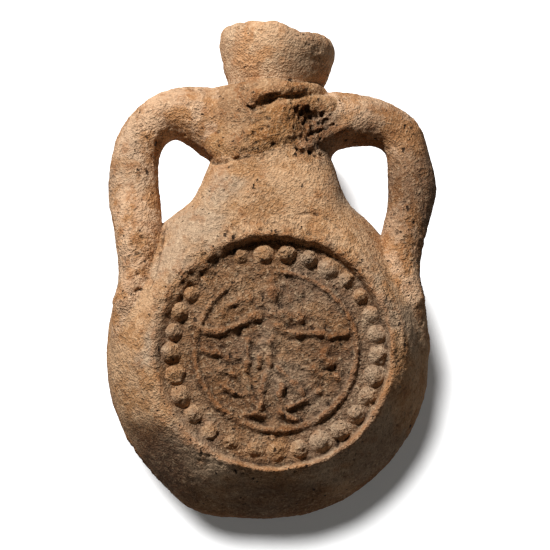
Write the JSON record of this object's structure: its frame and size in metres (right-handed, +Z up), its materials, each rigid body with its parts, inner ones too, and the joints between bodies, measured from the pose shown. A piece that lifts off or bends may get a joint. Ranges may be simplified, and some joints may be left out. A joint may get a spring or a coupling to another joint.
{
  "type": "pilgrim flask",
  "caption": "Small two-handled lentoid clay flask with a round moulded body, a beaded roundel with a worn standing figure, and a short flared neck.",
  "frame": {"origin": "middle of the flask's box in plan, on the plane that it lies on", "axes": "+Z up out of the front roundel, +Y from the body towards the mouth, +X to the right seen from the front"},
  "size_m": [0.0668, 0.1006, 0.03],
  "materials": {
    "pressed_clay": "dry unglazed fired clay, pressed in a mould, worn",
    "rolled_clay": "dry unglazed fired clay, rolled by hand, with fine pits and straw voids",
    "luting_clay": "dry unglazed fired clay, smeared on wet, rough and torn in places",
    "thrown_clay": "dry unglazed fired clay, turned, with a broken lip"
  },
  "bodies": {
    "root": {"front_half": "pressed_clay", "back_half": "pressed_clay", "seam_strip": "luting_clay", "neck": "thrown_clay", "neck_collar": "luting_clay", "shoulder_wrap": "luting_clay", "left_handle": "rolled_clay", "right_handle": "rolled_clay"}
  },
  "joints": []
}
